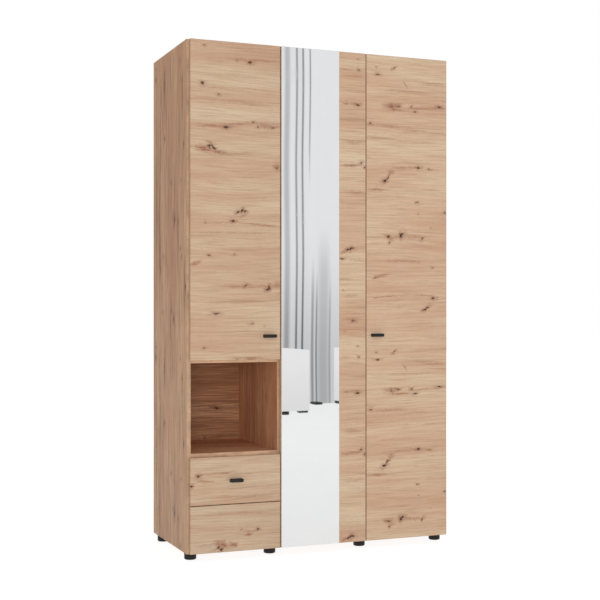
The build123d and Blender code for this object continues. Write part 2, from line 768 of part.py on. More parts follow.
for name, z in runner_rise.items():
    middle_channels = [add_channel(wall_x, towards, z, 2.4, 38.0, 8.2, runner_front_y,
                                   runner_rear_y - 6.0) for wall_x, towards in wall_pairs]
    with BuildPart() as middle_members:
        add(middle_channels)
    keep(middle_members, f"{name}_runner_middle_members")
    inner_channels = [add_channel(wall_x, towards, z, runner_thickness, 30.0, -7.5, face_y,
                                  box_rear_y - 4.0) for wall_x, towards in wall_pairs]
    with BuildPart() as inner_members:
        add(inner_channels)
    keep(inner_members, f"{name}_drawer_inner_members")

# ---- Soft dots that the fronts close on ----------------------------------------------------------

bumper_radius = 2.4
bumper_thickness = front_air - 0.4
partition_bumper_x = (partition_left + left_edges[1]) / 2
side_bumper_x = (left_edges[0] - side_inner) / 2
bumper_spots = [(partition_bumper_x, z) for z in (840.0, 1380.0, 1940.0, 235.0, 375.0, 60.0, 190.0)]
bumper_spots += [(side_bumper_x, z) for z in (235.0, 375.0, 60.0, 190.0)]
bumper_spots += [(x, z) for x in (middle_edges[1] - 20.0, right_edges[0] + 20.0)
                 for z in (bottom_z, top_z)]

with BuildPart() as door_bumpers:
    for x, z in bumper_spots:
        with Locations(Plane(origin=(x, face_y, z), z_dir=front)):
            Cylinder(bumper_radius, bumper_thickness, align=(Align.CENTER, Align.CENTER, Align.MIN))
keep(door_bumpers, "door_bumpers")
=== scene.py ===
import math

import bpy
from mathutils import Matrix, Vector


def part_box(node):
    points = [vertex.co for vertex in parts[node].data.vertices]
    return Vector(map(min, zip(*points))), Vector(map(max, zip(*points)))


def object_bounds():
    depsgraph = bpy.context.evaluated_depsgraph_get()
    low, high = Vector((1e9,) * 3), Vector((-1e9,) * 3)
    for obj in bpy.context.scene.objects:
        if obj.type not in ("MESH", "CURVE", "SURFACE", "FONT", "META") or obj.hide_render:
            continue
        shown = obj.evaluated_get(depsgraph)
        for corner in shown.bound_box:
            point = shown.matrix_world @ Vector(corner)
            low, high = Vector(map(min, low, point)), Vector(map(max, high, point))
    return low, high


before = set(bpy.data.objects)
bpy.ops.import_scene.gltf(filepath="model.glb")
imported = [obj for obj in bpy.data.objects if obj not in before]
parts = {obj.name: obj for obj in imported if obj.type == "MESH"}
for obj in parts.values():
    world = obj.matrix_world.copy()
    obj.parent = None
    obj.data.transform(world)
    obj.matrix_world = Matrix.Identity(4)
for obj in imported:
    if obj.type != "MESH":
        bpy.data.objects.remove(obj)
cadLow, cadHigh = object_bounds()
scene = bpy.context.scene
print("frame loaded,", len(parts), "parts")


# camera
cameraLook = {
    "spot": (-1.8593, -4.5979, 0.9639),
    "turn": -21.96,  # degrees off straight ahead
    "lens": 71.33,
    "lift": 0.0164,
    "reach": 60,
}


def makeCamera():
    cam = bpy.data.cameras.new("roomCamera")
    cam.lens = cameraLook["lens"]
    cam.shift_y = cameraLook["lift"]
    cam.clip_end = cameraLook["reach"]
    obj = bpy.data.objects.new("roomCamera", cam)
    obj.location = cameraLook["spot"]
    obj.rotation_euler = (math.pi / 2, 0, math.radians(cameraLook["turn"]))
    scene.collection.objects.link(obj)
    scene.camera = obj


makeCamera()
print("camera placed")


# small helpers for node trees
def tone(code, shade=1.0):  # "c9a988" to a linear colour
    out = []
    for i in (0, 2, 4):
        v = int(code[i:i + 2], 16) / 255
        out.append(shade * (v / 12.92 if v <= 0.04045 else ((v + 0.055) / 1.055) ** 2.4))
    return (*out, 1.0)


def feed(tree, socket, value):  # a link or a constant, whichever the value is
    if isinstance(value, bpy.types.NodeSocket):
        tree.links.new(value, socket)
    else:
        socket.default_value = value


def put(tree, kind, feeds=(), **settings):
    made = tree.nodes.new("ShaderNode" + kind)
    for key, value in settings.items():
        setattr(made, key, value)
    for key, value in dict(feeds).items():
        feed(tree, made.inputs[key], value)
    return made


def calc(tree, operation, a, b=0.0, c=0.0):
    return put(tree, "Math", {0: a, 1: b, 2: c}, operation=operation).outputs[0]


def vecCalc(tree, operation, a, b):
    return put(tree, "VectorMath", {0: a, 1: b}, operation=operation).outputs[0]


def lengthOf(tree, vector):
    return put(tree, "VectorMath", {0: vector}, operation="LENGTH").outputs["Value"]


def fade(tree, value, low, high, outLow=0.0, outHigh=1.0):  # soft step between low and high
    made = put(tree, "MapRange", {"Value": value, "From Min": low, "From Max": high,
                                  "To Min": outLow, "To Max": outHigh},
               interpolation_type="SMOOTHSTEP")
    return made.outputs["Result"]


def blend(tree, factor, a, b):
    made = put(tree, "Mix", data_type="RGBA", clamp_factor=True)
    for key, value in ((0, factor), (6, a), (7, b)):  # the colour sockets of this node
        feed(tree, made.inputs[key], value)
    return made.outputs[2]


def split(tree, vector):  # the x, y and z outputs
    return put(tree, "SeparateXYZ", {0: vector}).outputs


def join(tree, **axes):
    return put(tree, "CombineXYZ", {"xyz".index(a): v for a, v in axes.items()}).outputs[0]


def stretch(tree, vector, scale, shift=(0, 0, 0)):
    made = put(tree, "Mapping", {"Vector": vector, "Location": shift, "Scale": scale})
    return made.outputs[0]


def cloud(tree, vector, scale, detail, rough=0.5, swirl=0.0, output="Fac"):
    made = put(tree, "TexNoise", {"Vector": vector, "Scale": scale, "Detail": detail,
                                  "Roughness": rough, "Distortion": swirl})
    return made.outputs[output]


def layer(tree, vector, look):  # noise pulled out along a board or a part
    pulled = stretch(tree, vector, look["stretch"], look.get("shift", (0, 0, 0)))
    return cloud(tree, pulled, look.get("scale", 1.0), look["detail"], look.get("rough", 0.5),
                 look.get("swirl", 0.0))


def strength(tree, value, look, force=1.0):  # a layer's noise as an amount
    weakest, strongest = look.get("power", (0.0, 1.0))
    return fade(tree, value, *look["fade"], weakest, strongest * force)


def ramp(tree, factor, stops, shade=1.0):  # stops: (place, hex tone)
    made = put(tree, "ValToRGB", {"Fac": factor})
    bar = made.color_ramp
    while len(bar.elements) < len(stops):
        bar.elements.new(0.5)
    for element, (place, code) in zip(bar.elements, stops):
        element.position = place
        element.color = tone(code, shade)
    return made.outputs["Color"]


def newMaterial(name):
    mat = bpy.data.materials.new(name)
    mat.use_nodes = True
    tree = mat.node_tree
    shader = tree.nodes["Principled BSDF"]
    here = put(tree, "TexCoord").outputs["Object"]
    return mat, tree, shader, here


def facingOf(here):  # the way the surface faces, from the same node as the place
    return here.node.outputs["Normal"]


def wire(tree, shader, **feeds):
    for key, value in feeds.items():
        feed(tree, shader.inputs[key.replace("_", " ")], value)


def bump(tree, height, force, depth):
    made = put(tree, "Bump", {"Height": height, "Strength": force, "Distance": depth})
    return made.outputs[0]


def dress(mat, *names):  # every slot of these parts gets the material
    for name in names:
        mesh = parts[name].data
        if not mesh.materials:
            mesh.materials.append(mat)
        for i in range(len(mesh.materials)):
            mesh.materials[i] = mat


# oak decor board
oakLook = {
    "repeat": 1.158,            # the printed pattern starts again after this height, m
    "repeatFrom": 0.84,
    "seedSteps": (3.7, 1.9, 0.6),
    "rag": {"scale": 80.0, "detail": 4.0, "rough": 0.6},
    "ragReach": (0.022, 0.014, 0),  # how far knots and smears fray, m
    "wave": 0.040,              # how far the grain wanders, m
    "pull": 0.007,              # how far a knot bends the grain, m
    "noKnot": 9.0,              # distance where there is no knot at all
    "pullFade": (4.5, 0.4),     # these run from outside inwards, 1.0 is the mark's outline
    "heartFade": (1.20, 0.40),
    "stainFade": (3.2, 0.9),
    "smearFade": (1.30, 0.10),
    "smearForce": 1.35,
    "pore": "7d5a40", "poreMix": 0.30,
    "haloMix": 0.72,
    "knotRim": "7d5640", "rimFade": (0.0, 0.45), "rimMix": 0.85,
    "knotCore": "301e15", "coreFade": (0.25, 0.95),
    "smearMottle": {"fade": (0.34, 0.60), "power": (0.55, 1.0)},
    "knotMottle": {"fade": (0.30, 0.50), "power": (0.65, 1.0)},
    "band": 0.0012,             # thickness of the edge band, m
    "bandSoft": (0.0005, 0.0001),
    "bandMix": 0.45, "edgeMix": 0.8,
    "edgeFacing": 0.5,          # faces turned further than this are narrow ones
    "gloss": {"fade": (0.25, 0.80), "power": (0.42, 0.58)},
    "wear": {"fade": (0.4, 0.7), "power": (0.0, 0.07)},
    "wearCloud": {"scale": 6.0, "detail": 3.0},
    "sheen": 0.3,
    "bump": (0.25, 0.0004), "poreDepth": 0.8,
}
# layers of the print, from large to small: stretch is along, across and through the board
oakLayers = {
    "wander": {"stretch": (1.3, 3.2, 1.5), "detail": 2.0},
    "bands": {"stretch": (0.8, 10.0, 4.0), "detail": 4.0, "rough": 0.60},
    "blush": {"stretch": (1.1, 8.5, 3.0), "shift": (4, 9, 2), "detail": 3.0, "rough": 0.55,
              "fade": (0.48, 0.72), "power": (0.0, 0.46)},
    "streaks": {"stretch": (2.0, 44.0, 8.0), "shift": (7, 3, 5), "detail": 5.0, "rough": 0.68,
                "fade": (0.53, 0.70), "power": (0.0, 0.68)},
    "streakPatches": {"stretch": (1.5, 6.0, 2.0), "shift": (8, 1, 3), "detail": 3.0,
                      "fade": (0.36, 0.64), "power": (0.12, 1.0)},
    "hairs": {"stretch": (1.7, 190.0, 10.0), "shift": (5, 8, 4), "detail": 2.0,
              "fade": (0.60, 0.74), "power": (0.0, 0.55)},
    "hairPatches": {"stretch": (2.2, 9.0, 2.0), "shift": (3, 7, 6), "detail": 2.0,
                    "fade": (0.42, 0.62)},
    "flecks": {"stretch": (10.0, 130.0, 14.0), "shift": (3, 5, 1), "detail": 3.0, "rough": 0.6,
               "fade": (0.51, 0.74), "power": (0.0, 0.42)},
    "fleckPatches": {"stretch": (3.0, 16.0, 4.0), "shift": (6, 2, 7), "detail": 2.0,
                     "fade": (0.38, 0.62), "power": (0.3, 1.25)},
    "fine": {"stretch": (7.0, 330.0, 30.0), "shift": (1, 6, 8), "detail": 3.0, "rough": 0.65,
             "fade": (0.38, 0.70), "power": (0.0, 0.44)},
    "pores": {"stretch": (55.0, 1500.0, 90.0), "shift": (2, 2, 9), "detail": 1.0,
              "fade": (0.62, 0.74)},
    "mottle": {"stretch": (1.0, 1.6, 1.0), "scale": 150.0, "detail": 3.0, "rough": 0.7,
               "swirl": 0.6},
    "strands": {"stretch": (14.0, 170.0, 20.0), "detail": 3.0, "rough": 0.65,
                "fade": (0.32, 0.62), "power": (0.3, 1.0)},
    "rings": {"stretch": (60.0, 150.0, 60.0), "detail": 3.0, "rough": 0.7,
              "fade": (0.36, 0.60), "power": (0.35, 1.0)},
    "edge": {"stretch": (60.0, 220.0, 60.0), "detail": 3.0, "rough": 0.6},
}
# the same decor by its place, with tones changed as painted light and shade: front is doors and
# drawer fronts;
# carcass is sides, shelves, top and bottom, darker as painted shade; niche is the niche's back,
# darker still as painted shade of the recess; nicheWallPaintedBounce its floor, ceiling and the
# partition, redder as painted bounce light
oakFinish = {
    "front": {
        "force": 1.0,
        "tones": ((0.275, "c49c80"), (0.42, "cfad90"), (0.54, "d5b99b"), (0.70, "dac4a6")),
        "blush": "c29376", "streak": "a68163", "fleck": "b48d6e",
        # the edge tone is darker than the faces: painted shade of the narrow faces in the gaps
        "smear": "985840", "halo": "91604a", "edge": "a88462",
    },
    # darker than the front tones: painted shade of the side panels, shelves, top and bottom
    "carcass": {
        "force": 1.6,
        "tones": ((0.28, "b88866"), (0.42, "c99b75"), (0.54, "d3a780"), (0.70, "ddb58b")),
        "blush": "bd8b6f", "streak": "8d6448", "fleck": "b08566",
        "smear": "7a4f36", "halo": "724a32", "edge": "cfb499",
    },
    # darker than the carcass tones: painted shade of the niche's recess
    "niche": {
        "force": 1.95,
        "tones": ((0.26, "9f6e4b"), (0.42, "b27f5a"), (0.54, "c08e69"), (0.72, "d1a37d")),
        "blush": "ae7753", "streak": "7f5438", "fleck": "9d6f4e",
        "smear": "7c4e34", "halo": "74482e", "edge": "b38e6c",
    },
    # redder than the front tones: painted bounce light inside the niche
    "nicheWallPaintedBounce": {
        "force": 1.85,
        "tones": ((0.28, "c68c67"), (0.42, "daa27b"), (0.54, "e6b088"), (0.70, "f2c196")),
        "blush": "c88c6a", "streak": "946242", "fleck": "bc8864",
        "smear": "82502f", "halo": "764a2f", "edge": "cfb499",
    },
    "drawerBox": {
        "force": 0.7,
        "tones": ((0.26, "c59d82"), (0.42, "cfad90"), (0.54, "d5b89a"), (0.72, "d9c1a3")),
        "blush": "c08d74", "streak": "a47e62", "fleck": "b48b6d",
        "smear": "9f6650", "halo": "95644a", "edge": "b38e6c",
    },
}


def farFrom(tree, place, mark):  # 1.0 on the outline of a knot or smear, marks are in mm
    along, across, longHalf, shortHalf, tilt = mark[:5]
    local = put(tree, "Mapping", {"Vector": place,
                                  "Location": (along / 1000, across / 1000, 0),
                                  "Rotation": (0, 0, math.radians(tilt)),
                                  "Scale": (longHalf / 1000, shortHalf / 1000, 1)},
                vector_type="TEXTURE").outputs[0]
    return lengthOf(tree, local)


def knotFields(tree, place, knots):  # nearest outline, dark heart, and stain around it
    nearest, dark, stain = oakLook["noKnot"], 0.0, 0.0
    for mark in knots:
        far = farFrom(tree, place, mark)
        darkness = mark[5]
        nearest = calc(tree, "MINIMUM", far, nearest)
        heart = fade(tree, far, *oakLook["heartFade"], 0.0, darkness)
        dark = calc(tree, "MAXIMUM", heart, dark)
        around = fade(tree, far, *oakLook["stainFade"], 0.0, darkness)
        stain = calc(tree, "MAXIMUM", around, stain)
    return nearest, dark, stain


def smearField(tree, place, smears):
    total = 0.0
    for mark in smears:
        far = farFrom(tree, place, mark)
        brown = fade(tree, far, *oakLook["smearFade"], 0.0, oakLook["smearForce"] * mark[5])
        total = calc(tree, "MAXIMUM", brown, total)
    return total


def bandLine(tree, here, node):  # 1.0 on the glue line where the edge band meets the face
    low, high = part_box(node)
    axes = split(tree, here)
    inside = 1.0
    for i in (0, 2):
        inside = calc(tree, "MINIMUM", calc(tree, "SUBTRACT", axes[i], low[i]), inside)
        inside = calc(tree, "MINIMUM", calc(tree, "SUBTRACT", high[i], axes[i]), inside)
    off = calc(tree, "ABSOLUTE", calc(tree, "SUBTRACT", inside, oakLook["band"]))
    return fade(tree, off, *oakLook["bandSoft"])


def makeOak(name, grain, finish, seed, shade=1.0, knots=(), smears=(), repeats=None, front=None):
    # grain: the axes along, across and through the board, such as "xzy"
    look = oakFinish[finish]
    force = look["force"]
    mat, tree, shader, here = newMaterial(name)
    axes = split(tree, here)
    along, across, through = (axes["xyz".index(a)] for a in grain)
    raw = join(tree, x=along, y=across, z=through)
    seeded = vecCalc(tree, "ADD", raw, [seed * step for step in oakLook["seedSteps"]])

    # place on the print, which starts again
    top = oakLook["repeatFrom"] + oakLook["repeat"]
    if repeats == "along":
        along = calc(tree, "WRAP", along, top, oakLook["repeatFrom"])
    if repeats == "across":
        across = calc(tree, "WRAP", across, top, oakLook["repeatFrom"])
    flat = join(tree, x=along, y=across)
    rag = cloud(tree, seeded, **oakLook["rag"], output="Color")
    rag = vecCalc(tree, "SUBTRACT", rag, (0.5, 0.5, 0.5))
    rag = vecCalc(tree, "MULTIPLY", rag, oakLook["ragReach"])
    place = vecCalc(tree, "ADD", flat, rag)

    wander = layer(tree, seeded, oakLayers["wander"])
    bend = calc(tree, "MULTIPLY", calc(tree, "SUBTRACT", wander, 0.5), oakLook["wave"])
    if knots:
        far, dark, stain = knotFields(tree, place, knots)
        bend = calc(tree, "ADD", bend, fade(tree, far, *oakLook["pullFade"], 0.0, oakLook["pull"]))
    if smears:
        smear = smearField(tree, place, smears)
    grown = vecCalc(tree, "ADD", seeded, join(tree, y=bend))

    def noise(layerName):
        return layer(tree, grown, oakLayers[layerName])

    def amount(layerName, power=1.0):
        return strength(tree, noise(layerName), oakLayers[layerName], power)

    # the print, from wide bands to pores
    colour = ramp(tree, noise("bands"), look["tones"], shade)
    colour = blend(tree, amount("blush", force), colour, tone(look["blush"], shade))
    streakAt = calc(tree, "MULTIPLY", amount("streaks", force), amount("streakPatches"))
    colour = blend(tree, streakAt, colour, tone(look["streak"], shade))
    hairAt = calc(tree, "MULTIPLY", amount("hairs", force), amount("hairPatches"))
    colour = blend(tree, hairAt, colour, tone(look["smear"], shade))
    fleckAt = calc(tree, "MULTIPLY", amount("flecks", force), amount("fleckPatches"))
    colour = blend(tree, fleckAt, colour, tone(look["fleck"], shade))
    fine = noise("fine")
    fineAt = strength(tree, fine, oakLayers["fine"], force)
    colour = blend(tree, fineAt, colour, tone(look["streak"], shade))
    pores = amount("pores")
    poreAt = calc(tree, "MULTIPLY", pores, oakLook["poreMix"])
    colour = blend(tree, poreAt, colour, tone(oakLook["pore"]))

    # stains and knots at listed places
    mottle = noise("mottle")
    if smears:
        mottled = strength(tree, mottle, oakLook["smearMottle"])
        strand = calc(tree, "MULTIPLY", amount("strands"), mottled)
        colour = blend(tree, calc(tree, "MULTIPLY", smear, strand), colour, tone(look["smear"]))
    if knots:
        halo = calc(tree, "MULTIPLY", stain, oakLook["haloMix"])
        halo = calc(tree, "MULTIPLY", halo, amount("rings"))
        colour = blend(tree, halo, colour, tone(look["halo"]))
        dark = calc(tree, "MULTIPLY", dark, strength(tree, mottle, oakLook["knotMottle"]))
        rim = fade(tree, dark, *oakLook["rimFade"], 0.0, oakLook["rimMix"])
        colour = blend(tree, rim, colour, tone(oakLook["knotRim"]))
        core = fade(tree, dark, *oakLook["coreFade"])
        colour = blend(tree, core, colour, tone(oakLook["knotCore"]))

    # narrow faces carry the edge band in the finish's edge tone; on the fronts that tone is
    # darkened as painted shade of the gaps
    normal = split(tree, facingOf(here))["xyz".index(grain[2])]
    onEdge = calc(tree, "LESS_THAN", calc(tree, "ABSOLUTE", normal), oakLook["edgeFacing"])
    edgeColour = blend(tree, layer(tree, here, oakLayers["edge"]), tone(look["edge"]), colour)
    colour = blend(tree, calc(tree, "MULTIPLY", onEdge, oakLook["edgeMix"]), colour, edgeColour)
    if front:
        line = bandLine(tree, here, front)
        lineAt = calc(tree, "MULTIPLY", line, oakLook["bandMix"])
        colour = blend(tree, lineAt, colour, tone(look["smear"]))

    gloss = strength(tree, fine, oakLook["gloss"])
    wear = strength(tree, cloud(tree, here, **oakLook["wearCloud"]), oakLook["wear"])
    height = calc(tree, "SUBTRACT", fine, calc(tree, "MULTIPLY", pores, oakLook["poreDepth"]))
    if front:
        height = calc(tree, "SUBTRACT", height, line)
    wire(tree, shader, Base_Color=colour, Roughness=calc(tree, "ADD", gloss, wear),
         Specular_IOR_Level=oakLook["sheen"], Normal=bump(tree, height, *oakLook["bump"]))
    return mat


# shade lifts or lowers a whole front's tones: partly the print differing from board to board,
# partly painted light that lifts the middle and right doors against the key lamp falling from the
# left
# knots: place along and across the grain, half length, half height (mm), tilt, darkness
# smears: the same, with a strength for the last
leftDoorPrint = {
    "seed": 1.0, "shade": 1.01,
    "knots": ((-497, 1976, 7, 4, 0, .35), (-310, 1925, 10, 5, 0, .7), (-365, 1929, 7, 4, 0, .3),
              (-505, 1832, 9, 7, 0, .65), (-440, 1792, 6, 4, 0, .45), (-410, 1668, 12, 5, 0, .7),
              (-297, 1694, 6, 4, 10, .6), (-280, 1675, 6, 4, 0, .45), (-215, 1676, 9, 5, 0, .4),
              (-478, 1595, 11, 4, 15, .8), (-462, 1590, 15, 4, -48, .95),
              (-474, 1586, 9, 3, -40, .7), (-362, 1343, 9, 5, 30, .8), (-345, 1348, 9, 5, 55, .8),
              (-332, 1346, 9, 4, 5, .7), (-382, 1307, 9, 5, 0, .75), (-492, 1299, 6, 3, 0, .3),
              (-478, 1173, 6, 4, 0, .5), (-377, 1178, 5, 3, 0, .45), (-330, 1058, 8, 4, 25, .65),
              (-240, 1043, 9, 5, 20, .95), (-232, 1051, 5, 9, 0, .9), (-450, 950, 15, 4, 0, .65),
              (-305, 911, 8, 4, 10, .45), (-250, 901, 3, 3, 0, .3), (-497, 818, 6, 4, 0, .35),
              (-497, 772, 6, 4, 0, .35), (-362, 773, 5, 3, 0, .45), (-202, 1520, 7, 5, 0, .4)),
    "smears": ((-300, 1935, 115, 7, 0, .50), (-370, 1772, 190, 10, 0, .34),
               (-370, 1820, 180, 4, 1, .30), (-455, 1672, 110, 10, 0, .58),
               (-330, 1686, 150, 8, 5, .58), (-230, 1682, 60, 15, 0, .65),
               (-500, 1580, 60, 14, -8, .85), (-440, 1572, 70, 12, -6, .65),
               (-350, 1570, 80, 8, 0, .40), (-200, 1527, 20, 22, 0, .55),
               (-400, 1302, 90, 5, 3, .45), (-270, 1295, 95, 6, -4, .65),
               (-370, 1262, 190, 5, 0, .32), (-532, 1143, 26, 10, 22, .85),
               (-330, 1055, 130, 9, 0, .55), (-200, 1060, 20, 20, 0, .55),
               (-340, 1328, 25, 7, 35, .50), (-370, 1870, 180, 8, 0, .25),
               (-503, 1592, 20, 4, -25, .8), (-484, 1574, 22, 4, -12, .8),
               (-522, 1577, 17, 4, 20, .7)),
}
middleDoorPrint = {
    "seed": 2.3, "shade": 1.085,
    "knots": ((150, 1975, 6, 3, 0, .3), (153, 1931, 5, 4, 0, .55), (97, 1792, 7, 3, 0, .35),
              (148, 1787, 10, 4, 0, .75), (162, 1557, 7, 4, 20, .65), (178, 1538, 5, 4, 0, .6),
              (104, 1206, 9, 4, 30, .85), (116, 1210, 8, 5, 60, .8), (127, 1211, 8, 4, 5, .7),
              (78, 1169, 9, 4, 0, .75), (85, 1042, 4, 3, 0, .45), (126, 918, 9, 3, 35, .55),
              (133, 921, 8, 3, -30, .45), (90, 875, 3, 2, 0, .3)),
    "smears": ((90, 1930, 30, 5, 0, .45), (130, 1795, 60, 8, 0, .50), (130, 1683, 60, 3, 0, .40),
               (130, 1637, 60, 10, 0, .45), (120, 1545, 58, 8, 4, .70), (130, 1437, 60, 9, 0, .45),
               (140, 1165, 55, 5, -8, .55), (85, 1198, 22, 8, 40, .60), (120, 1020, 55, 6, 3, .40),
               (130, 1905, 60, 5, 0, .30), (125, 925, 45, 9, 0, .40)),
}
rightDoorPrint = {
    "seed": 3.1, "shade": 1.115,
    "knots": ((237, 1920, 12, 4, 0, .6), (230, 1948, 5, 3, 0, .35), (362, 1886, 9, 2, -60, .35),
              (390, 1797, 6, 4, 0, .55), (407, 1777, 8, 4, 10, .65), (331, 1796, 10, 5, 0, .5),
              (298, 1792, 7, 5, 30, .4), (306, 1783, 6, 3, -30, .35), (520, 1804, 12, 4, 0, .75),
              (205, 1718, 7, 5, 0, .55), (422, 1548, 9, 5, 0, .7), (472, 1545, 6, 3, 0, .4),
              (268, 1489, 10, 5, 15, .95), (282, 1503, 13, 4, 52, .75), (417, 1404, 7, 4, 0, .5),
              (545, 1368, 6, 4, 0, .55), (340, 1267, 5, 9, 10, .9), (349, 1274, 9, 5, 20, .8),
              (285, 1262, 9, 5, 0, .7), (440, 1258, 8, 4, 45, .6), (289, 1237, 5, 4, 0, .55),
              (487, 1137, 5, 4, 0, .3), (225, 1095, 7, 4, 0, .45), (492, 1011, 11, 5, 0, .7),
              (230, 1012, 4, 4, 0, .3), (453, 966, 10, 5, 20, .8), (466, 973, 9, 5, 30, .7),
              (422, 1358, 5, 2, 0, .3), (480, 1302, 3, 2, 0, .3), (313, 1952, 8, 3, 30, .35)),
    "smears": ((308, 1948, 18, 8, 30, .60), (490, 1897, 75, 9, 0, .50), (300, 1795, 45, 15, 0, .75),
               (450, 1793, 115, 6, 3, .62), (335, 1779, 80, 6, 0, .6), (300, 1712, 115, 8, 0, .45),
               (430, 1700, 120, 3, -1, .42), (370, 1652, 180, 3, 0, .32),
               (350, 1545, 115, 6, 3, .50), (480, 1541, 45, 5, -3, .42),
               (298, 1528, 22, 14, 0, .50), (235, 1452, 50, 7, 0, .60),
               (350, 1265, 140, 14, 0, .45), (410, 1262, 60, 5, 3, .6),
               (350, 1163, 170, 6, -1, .42), (253, 1101, 40, 8, 12, .80),
               (300, 1020, 115, 3, 4, .65), (455, 1023, 100, 3, -5, .55),
               (300, 1250, 20, 14, 0, .50), (370, 1860, 180, 6, 0, .25),
               (288, 1798, 14, 3, 50, .75), (312, 1789, 14, 3, -50, .75),
               (301, 1806, 15, 3, 5, .65), (268, 1480, 24, 4, 40, .6),
               (276, 1262, 22, 4, -20, .6), (447, 963, 20, 4, 30, .6)),
}
upperDrawerPrint = {
    "seed": 4.2, "shade": 0.97,
    "knots": ((-520, 328, 9, 5, 0, .75), (-548, 290, 7, 5, 30, .75), (-410, 335, 7, 2, 0, .35)),
    "smears": ((-450, 335, 90, 5, 3, .50), (-500, 308, 55, 7, -6, .55), (-350, 242, 180, 6, 0, .36),
               (-330, 275, 130, 4, 2, .32)),
}
lowerDrawerPrint = {
    "seed": 5.6, "shade": 0.93,
    "knots": ((-280, 110, 7, 4, 0, .65), (-438, 50, 8, 4, -35, .85), (-428, 42, 8, 5, 30, .8),
              (-372, 52, 5, 3, 0, .4), (-350, 112, 5, 2, 0, .3), (-316, 92, 8, 3, 0, .3)),
    "smears": ((-425, 62, 36, 16, -20, .85), (-380, 57, 24, 12, 0, .8), (-470, 62, 70, 6, 4, .50),
               (-318, 93, 20, 6, 10, .6), (-300, 104, 50, 5, 0, .5), (-370, 178, 185, 8, 0, .30),
               (-442, 60, 17, 4, -55, .8), (-419, 72, 17, 4, 25, .8), (-405, 48, 18, 4, -20, .75),
               (-388, 64, 15, 4, -45, .75), (-367, 56, 13, 4, 40, .7), (-455, 44, 24, 4, 15, .6)),
}
nichePrint = {
    "seed": 6.4,
    "knots": ((-292, 546, 14, 4, 0, .85), (-347, 419, 7, 4, 0, .5)),
    "smears": ((-402, 728, 60, 12, -5, .5), (-350, 650, 180, 5, 0, .5), (-330, 545, 120, 8, 0, .45),
               (-360, 470, 160, 6, 0, .4)),
}
# on uprights the first number is the height
sidePrint = {
    "seed": 7.7,
    "knots": ((953, 117, 6, 4, 0, .4), (960, -13, 10, 5, 0, .6), (928, -45, 15, 6, 10, .85),
              (1048, -205, 13, 6, 0, .9), (1057, 122, 5, 3, 0, .4), (1130, 157, 18, 5, 0, .6),
              (1183, 112, 8, 4, 0, .45), (1168, -158, 6, 3, 0, .4), (1202, -138, 7, 4, 0, .55),
              (1308, -108, 8, 5, 0, .4), (1318, -58, 15, 6, -14, .85), (1335, -33, 9, 4, 0, .5),
              (1465, -148, 6, 4, 0, .4), (1470, -5, 10, 6, 0, .5), (1602, -183, 12, 5, 0, .7),
              (1660, 90, 9, 6, 0, .7), (1858, -163, 12, 5, 0, .5), (1880, 90, 28, 4, 0, .65),
              (1932, -135, 9, 5, 0, .45), (1967, 222, 10, 4, 0, .6), (1922, 224, 15, 6, 0, .7)),
    "smears": ((1250, 165, 330, 14, 0, .75), (1870, 92, 110, 15, 0, .70), (920, 2, 160, 10, 0, .70),
               (1905, 2, 95, 4, 0, .9), (1800, -163, 130, 12, 0, .65),
               (1240, -103, 130, 13, 0, .6), (1640, 155, 260, 10, 0, .7),
               (1050, -195, 150, 12, 0, .7), (1420, -60, 140, 12, 0, .5),
               (1325, -50, 70, 18, 0, .5), (1500, 215, 420, 12, 0, .7), (1500, 30, 300, 9, 0, .45),
               (1180, 60, 240, 8, 0, .4), (1640, -120, 220, 8, 0, .45), (930, -120, 120, 9, 0, .5)),
}
partitionPrint = {
    "seed": 8.9,
    "knots": ((615, -96, 16, 3, 0, .7), (684, -84, 5, 4, 0, .4)),
    "smears": ((560, -60, 180, 7, 0, .5), (600, 60, 190, 8, 0, .5), (560, 140, 160, 6, 0, .45)),
}
shelfPrint = {
    "seed": 11.2,
    "knots": ((-330, -40, 8, 5, 0, .6), (-490, 120, 6, 4, 0, .5), (60, 60, 10, 5, 0, .7),
              (310, -120, 8, 4, 0, .5), (430, 90, 9, 5, 0, .6)),
    "smears": ((-380, 10, 150, 9, 0, .5), (100, -90, 200, 7, 0, .45), (350, 60, 180, 8, 0, .5)),
}
drawerBoxPrint = {
    "seed": 13.4,
    "smears": ((0, 300, 160, 7, 0, .35), (30, 120, 190, 8, 0, .35)),
}


def dressOak():
    for name, doorPrint in (("door_left", leftDoorPrint), ("door_middle", middleDoorPrint),
                            ("door_right", rightDoorPrint)):
        mat = makeOak("oak_" + name, "xzy", "front", repeats="across", front=name, **doorPrint)
        dress(mat, name)
    for name, drawerPrint in (("upper_drawer_front", upperDrawerPrint),
                              ("lower_drawer_front", lowerDrawerPrint)):
        dress(makeOak("oak_" + name, "xzy", "front", front=name, **drawerPrint), name)
    for name, grain, finish, boardPrint, nodes in (
            ("oak_niche_back", "xzy", "niche", nichePrint, ("niche_back",)),
            ("oak_sides", "zyx", "carcass", {"repeats": "along", **sidePrint},
             ("side_left", "side_right")),
            ("oak_partition", "zyx", "nicheWallPaintedBounce", partitionPrint, ("partition",)),
            ("oak_niche_shelves", "xyz", "nicheWallPaintedBounce", shelfPrint,
             ("niche_top_shelf", "niche_floor_shelf")),
            ("oak_shelves", "xyz", "carcass", shelfPrint,
             ("top_panel", "bottom_panel", "hat_shelf", "adjustable_shelf_1",
              "adjustable_shelf_2", "adjustable_shelf_3"))):
        dress(makeOak(name, grain, finish, **boardPrint), *nodes)


dressOak()
print("oak boards dressed")


